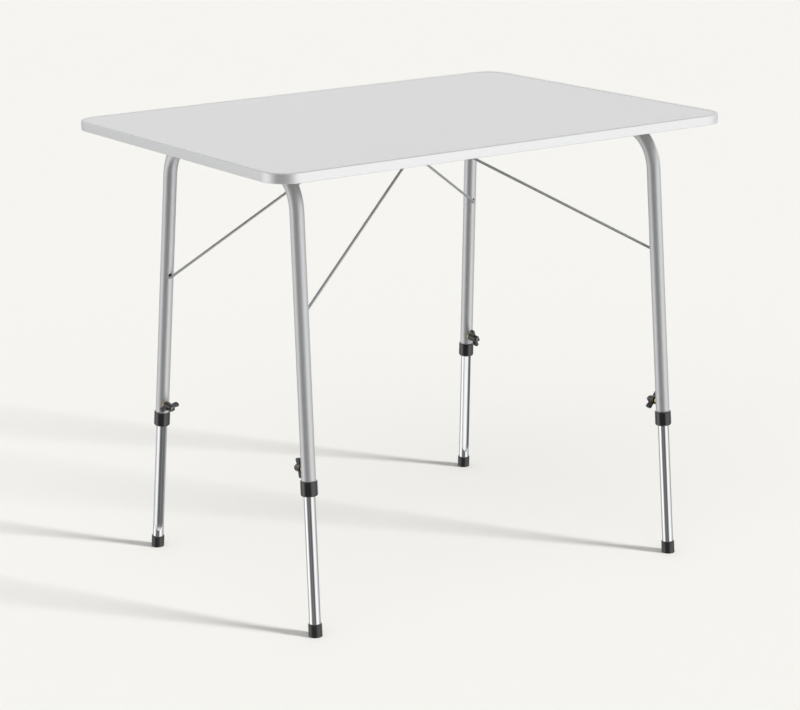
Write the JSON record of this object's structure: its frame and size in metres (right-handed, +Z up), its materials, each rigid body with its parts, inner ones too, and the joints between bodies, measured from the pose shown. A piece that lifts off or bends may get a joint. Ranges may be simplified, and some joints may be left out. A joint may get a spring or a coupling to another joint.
{
  "type": "folding camping table",
  "caption": "Folding camping table with a rimmed rectangular top, hinged tube leg frames, wire struts and telescopic clamped legs.",
  "frame": {"origin": "on the floor under the middle of the table top", "axes": "+X along the long side of the top towards the wider leg frame, +Y along the short side, +Z up"},
  "size_m": [0.8, 0.6, 0.692],
  "materials": {
    "laminate": "light grey decor laminate over a board core",
    "trim_aluminium": "satin anodised edge profile",
    "frame_paint": "satin silver-grey coat on steel tube",
    "strut_zinc": "zinc-plated wire",
    "screw_zinc": "bright zinc",
    "underside_plastic": "black moulded plastic",
    "collar_plastic": "black satin plastic",
    "knob_plastic": "black satin plastic",
    "lower_chrome": "polished chrome on steel tube",
    "foot_rubber": "black rubber",
    "insert_brass": "plain brass"
  },
  "bodies": {
    "table_top": {"board": "laminate", "edge_trim": "trim_aluminium", "hinge_saddle_left_front": "underside_plastic", "hinge_saddle_left_rear": "underside_plastic", "hinge_saddle_right_front": "underside_plastic", "hinge_saddle_right_rear": "underside_plastic", "saddle_screws": "screw_zinc", "strut_catch": "underside_plastic", "catch_screws": "screw_zinc"},
    "left_frame": {"left_frame_tube": "frame_paint", "collar_left_front": "collar_plastic", "threaded_insert_left_front": "insert_brass", "collar_left_rear": "collar_plastic", "threaded_insert_left_rear": "insert_brass"},
    "left_strut_wire": {"left_strut": "strut_zinc"},
    "right_frame": {"right_frame_tube": "frame_paint", "collar_right_front": "collar_plastic", "threaded_insert_right_front": "insert_brass", "collar_right_rear": "collar_plastic", "threaded_insert_right_rear": "insert_brass"},
    "right_strut_wire": {"right_strut": "strut_zinc"},
    "lower_leg_left_front": {"lower_tube_left_front": "lower_chrome", "guide_plug_left_front": "underside_plastic", "foot_cap_left_front": "foot_rubber"},
    "clamp_left_front": {"wing_knob_left_front": "knob_plastic", "clamp_screw_left_front": "screw_zinc"},
    "lower_leg_left_rear": {"lower_tube_left_rear": "lower_chrome", "guide_plug_left_rear": "underside_plastic", "foot_cap_left_rear": "foot_rubber"},
    "clamp_left_rear": {"wing_knob_left_rear": "knob_plastic", "clamp_screw_left_rear": "screw_zinc"},
    "lower_leg_right_front": {"lower_tube_right_front": "lower_chrome", "guide_plug_right_front": "underside_plastic", "foot_cap_right_front": "foot_rubber"},
    "clamp_right_front": {"wing_knob_right_front": "knob_plastic", "clamp_screw_right_front": "screw_zinc"},
    "lower_leg_right_rear": {"lower_tube_right_rear": "lower_chrome", "guide_plug_right_rear": "underside_plastic", "foot_cap_right_rear": "foot_rubber"},
    "clamp_right_rear": {"wing_knob_right_rear": "knob_plastic", "clamp_screw_right_rear": "screw_zinc"}
  },
  "joints": [
    {"name": "right_frame_fold", "type": "hinge", "parent": "table_top", "child": "right_frame", "pos_m": [0.30765, 0, 0.6655], "axis": [0, 1, 0], "range_deg": [0, 89]},
    {"name": "left_frame_fold", "type": "hinge", "parent": "table_top", "child": "left_frame", "pos_m": [-0.29604, 0, 0.6655], "axis": [0, -1, 0], "range_deg": [0, 89]},
    {"name": "right_strut_swing", "type": "hinge", "parent": "right_frame", "child": "right_strut_wire", "pos_m": [0.30963, 0, 0.483], "axis": [0, 1, 0], "range_deg": [-120.9, 0]},
    {"name": "left_strut_swing", "type": "hinge", "parent": "left_frame", "child": "left_strut_wire", "pos_m": [-0.3038, 0, 0.45], "axis": [0, -1, 0], "range_deg": [-127.6, 0]},
    {"name": "leg_slide_left_front", "type": "slide", "parent": "left_frame", "child": "lower_leg_left_front", "axis": [-0.0358, -0.0887, -0.9954], "range_m": [-0.171, 0.01]},
    {"name": "knob_turn_left_front", "type": "hinge", "parent": "left_frame", "child": "clamp_left_front", "pos_m": [-0.31132, -0.19514, 0.24111], "axis": [-0.0032, 0.9961, -0.0886], "range_deg": [0, 540]},
    {"name": "leg_slide_left_rear", "type": "slide", "parent": "left_frame", "child": "lower_leg_left_rear", "axis": [-0.0358, 0.0887, -0.9954], "range_m": [-0.171, 0.01]},
    {"name": "knob_turn_left_rear", "type": "hinge", "parent": "left_frame", "child": "clamp_left_rear", "pos_m": [-0.31132, 0.19514, 0.24111], "axis": [-0.0032, -0.9961, -0.0886], "range_deg": [0, 540]},
    {"name": "leg_slide_right_front", "type": "slide", "parent": "right_frame", "child": "lower_leg_right_front", "axis": [0.0109, -0.0654, -0.9978], "range_m": [-0.171, 0.01]},
    {"name": "knob_turn_right_front", "type": "hinge", "parent": "right_frame", "child": "clamp_right_front", "pos_m": [0.31226, -0.2391, 0.24216], "axis": [0.0007, 0.9979, -0.0654], "range_deg": [0, 540]},
    {"name": "leg_slide_right_rear", "type": "slide", "parent": "right_frame", "child": "lower_leg_right_rear", "axis": [0.0109, 0.0654, -0.9978], "range_m": [-0.171, 0.01]},
    {"name": "knob_turn_right_rear", "type": "hinge", "parent": "right_frame", "child": "clamp_right_rear", "pos_m": [0.31226, 0.2391, 0.24216], "axis": [0.0007, -0.9979, -0.0654], "range_deg": [0, 540]}
  ],
  "couplings": [
    {"joint": "left_frame_fold", "follows": "right_frame_fold", "ratio": 1},
    {"joint": "right_strut_swing", "follows": "right_frame_fold", "ratio": -1.3565},
    {"joint": "left_strut_swing", "follows": "right_frame_fold", "ratio": -1.4323}
  ]
}
